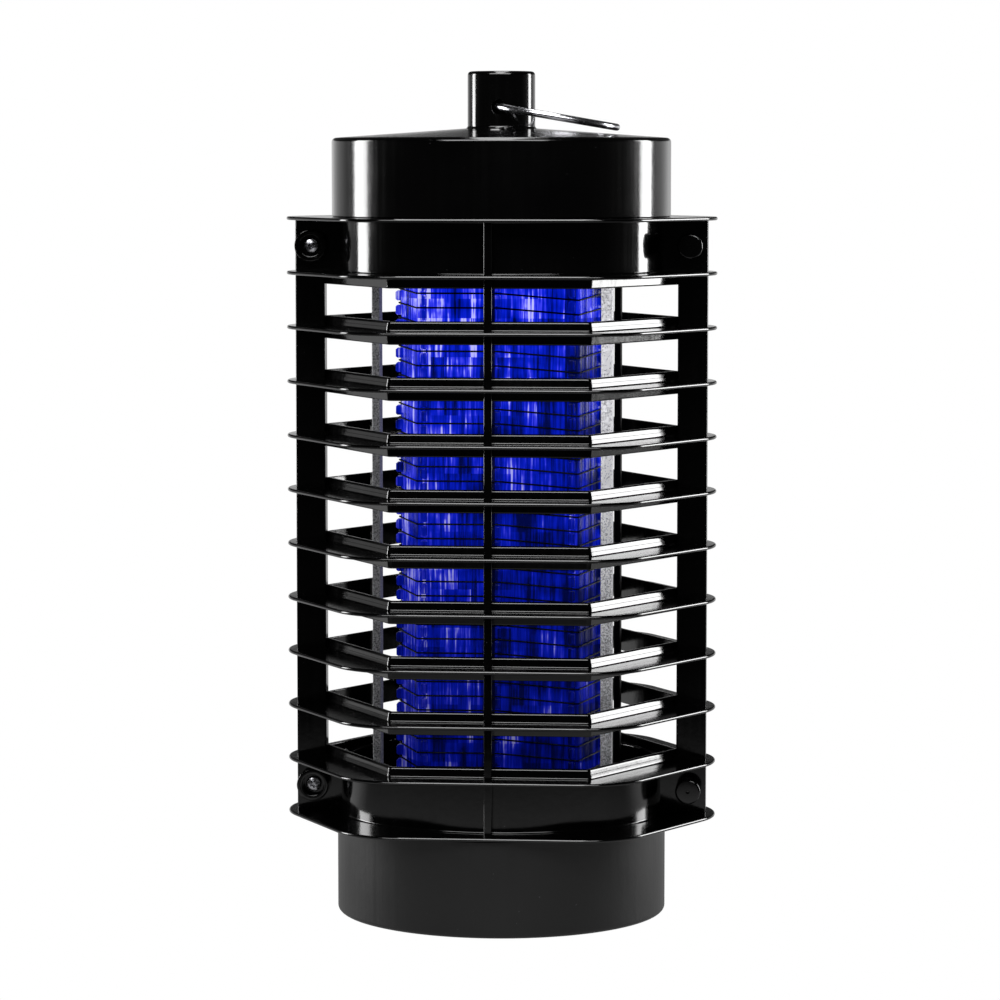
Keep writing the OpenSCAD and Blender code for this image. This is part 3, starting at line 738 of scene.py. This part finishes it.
def bump(tree, shader, height, distance):
    made = add(tree, "Bump", {"Height": height, "Distance": distance, "Strength": 1.0})
    tree.links.new(made.outputs["Normal"], shader.inputs["Normal"])


def grey(v, blue=1.05):
    return (v, v, v * blue)


def black_moulding(name, rough, spread_of=0.06, peel=0.000012, shade=0.0004):
    """Glossy black injection moulding: faint flow streaks, orange peel and a few pale specks."""
    made, tree, shader = start_material(name, IOR=1.5)
    streaks = noise(tree, 900, (1, 1, 0.02), 4)
    cloudy = noise(tree, 45, detail=4)
    specks = noise(tree, 1500, detail=1)
    mixed = add(tree, "Math", {0: streaks, 1: cloudy}, operation="ADD")
    tree.links.new(spread(tree, mixed.outputs[0], rough - spread_of / 2, rough + spread_of, 0.7, 1.3),
                   shader.inputs["Roughness"])
    tint = ramp(tree, cloudy, [(0.3, grey(shade)), (0.75, grey(shade * 1.9))])
    dust = ramp(tree, specks, [(0.80, grey(0)), (0.83, grey(0.05))])
    colour = add(tree, "Mix", {"Factor": 1.0, 6: tint, 7: dust}, data_type="RGBA", blend_type="ADD")
    tree.links.new(colour.outputs[2], shader.inputs["Base Color"])
    fine = noise(tree, 380, detail=2)
    bump(tree, shader, fine, peel)
    return made


def textured_moulding(name, dark, light, rough, grain=2600, depth=0.00006, shine=0.5):
    """Spark-eroded plastic: a fine pitted grain whose peaks catch the light."""
    made, tree, shader = start_material(name, IOR=1.5, Specular_IOR_Level=shine)
    pits = noise(tree, grain, detail=3, roughness=0.65)
    patches = noise(tree, 120, detail=2)
    tree.links.new(ramp(tree, pits, [(0.36, grey(dark)), (0.66, grey(light))]), shader.inputs["Base Color"])
    tree.links.new(spread(tree, patches, rough - 0.06, rough + 0.08), shader.inputs["Roughness"])
    bump(tree, shader, pits, depth)
    return made


def bright_metal(name, shade, rough):
    """Plated or drawn steel with fine lines."""
    made, tree, shader = start_material(name, Metallic=1.0)
    lines = noise(tree, 2500, detail=4, roughness=0.6)
    cloudy = noise(tree, 300, detail=3)
    tree.links.new(ramp(tree, cloudy, [(0.3, grey(shade * 0.8)), (0.7, grey(shade))]),
                   shader.inputs["Base Color"])
    tree.links.new(spread(tree, lines, rough * 0.7, rough * 1.4), shader.inputs["Roughness"])
    bump(tree, shader, lines, 0.000006)
    return made


def lit_blue(name, dim=1.0):
    """Blue plastic glowing with the lamps' light from inside: streaks down the flutes and a glow that steps
    in small blocks. Painted light: the glow is made brighter towards the top and the left, and its palest
    violet-white tones are a painted reflection.
    """
    made, tree, shader = start_material(name, IOR=1.5, Roughness=0.3, Specular_IOR_Level=0.08)
    streaks = noise(tree, 420, (1, 1, 0.035), 3, 0.6)
    fine = noise(tree, 1500, (1, 1, 0.05), 2, 0.6)
    clouds = noise(tree, 75, (1, 1, 1.3), 3, 0.55)
    place = add(tree, "TexCoord")
    cell = (3.8 * MM, 0.2, 5.5 * MM)
    cells = add(tree, "VectorMath", {0: place.outputs["Object"], 1: cell}, operation="SNAP")
    block = add(tree, "TexWhiteNoise", {"Vector": cells.outputs[0]}, noise_dimensions="3D")
    blocks = add(tree, "Math", {0: block.outputs["Value"], 1: 0.28}, operation="MULTIPLY")
    parts = add(tree, "SeparateXYZ", {"Vector": place.outputs["Object"]})
    # Painted light: the glow is made brighter to the left and towards the top.
    lean = spread(tree, parts.outputs["X"], 0.07, -0.13, -0.02, 0.02)
    painted_rise = spread(tree, parts.outputs["Z"], -0.08, 0.02, 0.09, 0.175)
    total = streaks
    for part in (fine, clouds, blocks.outputs[0], lean, painted_rise):
        total = add(tree, "Math", {0: total, 1: part}, operation="ADD").outputs[0]
    level = spread(tree, total, 0.0, 1.0, 1.3, 1.95)
    # The palest violet-white stops are a painted reflection on the glowing plastic.
    stops = [(0.0, (0.0, 0.002, 0.05)), (0.35, (0.0, 0.007, 0.35)), (0.65, (0.003, 0.014, 0.6)),
             (0.85, (0.05, 0.055, 0.85)), (1.0, (0.45, 0.45, 1.0))]
    colour = ramp(tree, level, [(at, [dim * v for v in shade]) for at, shade in stops])
    # Painted light: the whole glow grows stronger towards the top.
    high = spread(tree, parts.outputs["Z"], 0.28, 1.2, 0.045, 0.18)
    shown = add(tree, "VectorMath", {0: colour, "Scale": high}, operation="SCALE")
    tree.links.new(shown.outputs[0], shader.inputs["Emission Color"])
    # Black parts close to the cover would otherwise mirror it
    ray = add(tree, "LightPath")
    strength = spread(tree, ray.outputs["Is Glossy Ray"], 1.0, 0.06, 0.0, 1.0)
    tree.links.new(strength, shader.inputs["Emission Strength"])
    shader.inputs["Base Color"].default_value = (0.002, 0.004, 0.06, 1)
    bump(tree, shader, fine, 0.00003)
    return made


def post_with_painted_light(name, low, high, painted_glow_low, painted_glow_high):
    """A grainy grey post with painted light: it glows in its own tone, most of it near the top."""
    made, tree, shader = start_material(name, IOR=1.45, Roughness=0.6)
    grain = noise(tree, 2300, detail=3, roughness=0.65)
    tone = ramp(tree, grain, [(0.34, grey(low)), (0.66, grey(high))])
    tree.links.new(tone, shader.inputs["Base Color"])
    # Painted light: the post glows in its own speckled tone, more towards the top.
    tree.links.new(tone, shader.inputs["Emission Color"])
    place = add(tree, "TexCoord")
    parts = add(tree, "SeparateXYZ", {"Vector": place.outputs["Object"]})
    tree.links.new(spread(tree, parts.outputs["Z"], painted_glow_low, painted_glow_high, 0.06, 0.15),
                   shader.inputs["Emission Strength"])
    bump(tree, shader, grain, 0.00005)
    return made


def plain_coat(name, low, high, rough):
    """Small electrical parts: lacquer, tape or resin with slight mottling."""
    made, tree, shader = start_material(name, IOR=1.48)
    mottled = noise(tree, 250, detail=4)
    tree.links.new(ramp(tree, mottled, [(0.3, low), (0.7, high)]), shader.inputs["Base Color"])
    tree.links.new(spread(tree, mottled, rough - 0.05, rough + 0.08), shader.inputs["Roughness"])
    bump(tree, shader, mottled, 0.00001)
    return made


guard_plastic = black_moulding("guard_plastic", 0.10)
cover_plastic = black_moulding("cover_plastic", 0.11)
tray_plastic = black_moulding("tray_plastic", 0.33, 0.08, 0.00003, 0.001)
frame_plastic = textured_moulding("frame_plastic", 0.006, 0.03, 0.55)
# The four posts are one speckled plastic: these copies carry painted light on the front posts, the pale one
# most, and painted shade on the near-black rear ones.
grey_post_painted_light = post_with_painted_light("grey_post_painted_light", 0.06, 0.55, 0.08, 0.16)
pale_post_painted_light = post_with_painted_light("pale_post_painted_light", 0.22, 1.0, 0.1, 0.85)
dark_post_painted_shade = textured_moulding("dark_post_painted_shade", 0.001, 0.006, 0.5, 2300, shine=0.05)
blue_cover = lit_blue("blue_cover")
# The combs take a dimmer copy of the blue glow: painted shade on the teeth.
blue_comb_painted_shade = lit_blue("blue_comb_painted_shade", 0.7)
ring_steel = bright_metal("ring_steel", 0.62, 0.2)
screw_steel = bright_metal("screw_steel", 0.6, 0.22)
grid_steel = bright_metal("grid_steel", 0.012, 0.35)
bush_rubber = textured_moulding("bush_rubber", 0.01, 0.022, 0.6, 900, 0.00002)

SMALL_PARTS = {
    "circuit_board": ("board_green", (0.02, 0.13, 0.05), (0.04, 0.22, 0.08), 0.35),
    "led_board": ("board_white", (0.72, 0.72, 0.70), (0.86, 0.86, 0.84), 0.4),
    "leds": ("lamp_yellow", (0.75, 0.6, 0.2), (0.9, 0.8, 0.4), 0.25),
    "transformer": ("coil_tape", (0.55, 0.38, 0.05), (0.75, 0.55, 0.1), 0.3),
    "capacitors": ("film_red", (0.35, 0.04, 0.02), (0.5, 0.07, 0.03), 0.25),
    "diodes": ("diode_black", (0.01, 0.01, 0.01), (0.03, 0.03, 0.03), 0.4),
    "resistors": ("resistor_tan", (0.5, 0.4, 0.25), (0.65, 0.52, 0.34), 0.4),
    "grid_leads": ("lead_red", (0.4, 0.02, 0.02), (0.55, 0.04, 0.03), 0.4),
    "led_leads": ("lead_yellow", (0.6, 0.5, 0.04), (0.75, 0.65, 0.08), 0.4),
}


def repaint(node, material):
    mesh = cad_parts[node].data
    mesh.materials.clear()
    mesh.materials.append(material)


for node, (name, low, high, rough) in SMALL_PARTS.items():
    repaint(node, plain_coat(name, low, high, rough))
for node in ("upper_frame", "lower_frame", "tray_collar"):
    repaint(node, frame_plastic)

# ---------------------------------------------------------------- pieces
half = guard_half_mesh()
rear_half = half.copy()
rear_half.transform(Matrix.Rotation(math.pi, 4, "Z"))
piece("guard_front_half", half, guard_plastic, replaces=["front_guard"])
piece("guard_rear_half", rear_half, guard_plastic, replaces=["rear_guard"])
piece("guard_screw_set", screws_mesh("guard_screw_set", guard_screw_places(),
      HEAD_SEAT + THREAD_BOSS_LEN - 2.5 * MM), screw_steel, replaces=["guard_screws"])
piece("cover_screw_set", screws_mesh("cover_screw_set", cover_screw_places(), COVER_SCREW_LEN),
      screw_steel, replaces=["cover_screws"])
piece("top_cover_shell", cover_mesh(), cover_plastic, replaces=["top_cover"])
piece("cord_bush", grommet_mesh(), bush_rubber, replaces=["cord_grommet"])
piece("steel_ring", ring_mesh(), ring_steel, body="ring", replaces=["hanging_ring"])
piece("tray_cup", tray_mesh(), tray_plastic, body="tray", replaces=["collection_tray"])
piece("grid_wire_live", wire_mesh(0), grid_steel, replaces=["grid_wire_a"], sharp=60)
piece("grid_wire_return", wire_mesh(WIRE_GAP), grid_steel, replaces=["grid_wire_b"], sharp=60)
for name, mesh, material in (("blue_light_cover", light_cover_mesh(), blue_cover),
                             ("blue_side_combs", combs_mesh("side"), blue_comb_painted_shade),
                             ("blue_face_combs", combs_mesh("face"), blue_comb_painted_shade)):
    piece(name, mesh, material, replaces=["light_cover"], sharp=50)
# Front posts get the painted-light copies, rear posts the painted-shade one.
for node, material in (("post_front_left", grey_post_painted_light), ("post_front_right", pale_post_painted_light),
                       ("post_rear_left", dark_post_painted_shade), ("post_rear_right", dark_post_painted_shade)):
    piece(node + "_rail", post_mesh(node), material, replaces=[node])


# ---------------------------------------------------------------- studio
CAMERA_AZIMUTH = math.radians(4.90)
CAMERA_DISTANCE = 1.097
CAMERA_HEIGHT = 0.2157
CAMERA_PITCH = math.radians(5.09)
FOCAL_LENGTH = 138.44
SIDE_AIM = math.radians(0.02086)
LIGHT_DISTANCE = 1.0
FLOOR_R = 3.0


def make_camera():
    data = bpy.data.cameras.new("camera")
    data.lens, data.sensor_width = FOCAL_LENGTH, 36.0
    obj = bpy.data.objects.new("camera", data)
    scene.collection.objects.link(obj)
    obj.location = (CAMERA_DISTANCE * math.sin(CAMERA_AZIMUTH),
                    -CAMERA_DISTANCE * math.cos(CAMERA_AZIMUTH), CAMERA_HEIGHT)
    obj.rotation_euler = (math.pi / 2 - CAMERA_PITCH, 0, CAMERA_AZIMUTH + SIDE_AIM)
    data.clip_start, data.clip_end = 0.01, 50
    scene.camera = obj


def light(name, azimuth, elevation, width, height, radiance, aim=(0, 0, 0.12)):
    """A soft box at a compass azimuth (0 in front, 90 at +X) whose face has the given radiance."""
    a, e = math.radians(azimuth), math.radians(elevation)
    target = Vector(aim)
    direction = Vector((math.sin(a) * math.cos(e), -math.cos(a) * math.cos(e), math.sin(e)))
    data = bpy.data.lights.new(name, "AREA")
    data.shape = "RECTANGLE"
    data.size, data.size_y = width, height
    data.energy = radiance * math.pi * width * height
    obj = bpy.data.objects.new(name, data)
    scene.collection.objects.link(obj)
    obj.location = target + LIGHT_DISTANCE * direction
    obj.rotation_euler = direction.to_track_quat("Z", "Y").to_euler()
    obj.visible_camera = False


def make_world():
    """White to the camera; the object reflects a dark studio that is pale low down behind it."""
    world = bpy.data.worlds.new("studio")
    scene.world = world
    world.use_nodes = True
    tree = world.node_tree
    tree.nodes.clear()
    place = add(tree, "TexCoord")
    flat = add(tree, "VectorMath", {0: place.outputs["Generated"], 1: (1, 1, 0)}, operation="MULTIPLY")
    compass = add(tree, "VectorMath", {0: flat.outputs[0]}, operation="NORMALIZE")
    away = add(tree, "SeparateXYZ", {"Vector": compass.outputs[0]})
    height = add(tree, "SeparateXYZ", {"Vector": place.outputs["Generated"]})
    share = spread(tree, away.outputs["Y"], 0.0, 1.0, -1.0, 1.0)
    stops = ((0.0, 0.012), (0.35, 0.02), (0.55, 0.06), (0.75, 0.2), (0.80, 0.33), (0.90, 0.6), (0.97, 1.0),
             (1.0, 0.65))
    pale = ramp(tree, share, [(at, grey(v, 1)) for at, v in stops])
    low_down = spread(tree, height.outputs["Z"], 1.0, 0.06, 0.07, 0.13)
    level = add(tree, "Math", {0: pale, 1: low_down}, operation="MULTIPLY")
    studio = add(tree, "Background", {"Color": (1, 1, 1, 1), "Strength": level.outputs[0]})
    white = add(tree, "Background", {"Color": (1, 1, 1, 1), "Strength": 1.0})
    ray = add(tree, "LightPath")
    mixed = add(tree, "MixShader", {0: ray.outputs["Is Camera Ray"], 1: studio.outputs[0],
                                    2: white.outputs[0]})
    out = add(tree, "OutputWorld")
    tree.links.new(mixed.outputs[0], out.inputs["Surface"])


def make_floor():
    """A white sheet for the camera, and under it a dimmer one that the object reflects."""
    steps = 96
    for name, top in (("floor", 0.0), ("floor_glow", -1 * MM)):
        shell = Shell()
        shell.loft([[(r * math.cos(math.tau * i / steps), r * math.sin(math.tau * i / steps), z)
                     for i in range(steps)] for r, z in ((FLOOR_R, top - 0.5 * MM), (FLOOR_R, top))])
        sheet = link(shell.mesh(name), name)
        sheet.location.z = -0.2 * MM
        made, tree, shader = start_material(name + "_white", Roughness=0.9, Specular_IOR_Level=0,
                                            Base_Color=(0, 0, 0, 1), Emission_Color=(1, 1, 1, 1))
        if name == "floor":
            shader.inputs["Emission Strength"].default_value = 1.0
            sheet.visible_glossy = sheet.visible_diffuse = sheet.visible_shadow = False
        else:
            place = add(tree, "TexCoord")
            parts = add(tree, "SeparateXYZ", {"Vector": place.outputs["Object"]})
            near = spread(tree, parts.outputs["Y"], 0.55, 0.35, -0.12, 0.0)
            away = add(tree, "VectorMath", {0: place.outputs["Object"]}, operation="LENGTH")
            fade = spread(tree, away.outputs["Value"], 1.0, 0.03, 0.15, 0.38)
            in_front = add(tree, "Math", {0: near, 1: fade}, operation="MULTIPLY")
            past = spread(tree, parts.outputs["Y"], 0.0, 0.6, -0.02, 0.08)
            outside = spread(tree, away.outputs["Value"], 0.0, 1.0, 0.11, 0.2)
            behind = add(tree, "Math", {0: past, 1: outside}, operation="MULTIPLY")
            level = add(tree, "Math", {0: in_front.outputs[0], 1: behind.outputs[0]},
                        operation="MAXIMUM")
            tree.links.new(level.outputs[0], shader.inputs["Emission Strength"])
            sheet.visible_camera = False
        sheet.data.materials.append(made)


make_camera()
make_world()
make_floor()
light("strip_right", 117.5, 6, 0.24, 0.53, 15, (0, 0, 0.18))
light("strip_left", -103, 6, 0.26, 0.53, 15, (0, 0, 0.18))
light("strip_top", 0, 78, 0.34, 1.3, 9)
light("box_front", 0, 38, 1.2, 0.42, 8)
scene.view_settings.view_transform = "Standard"
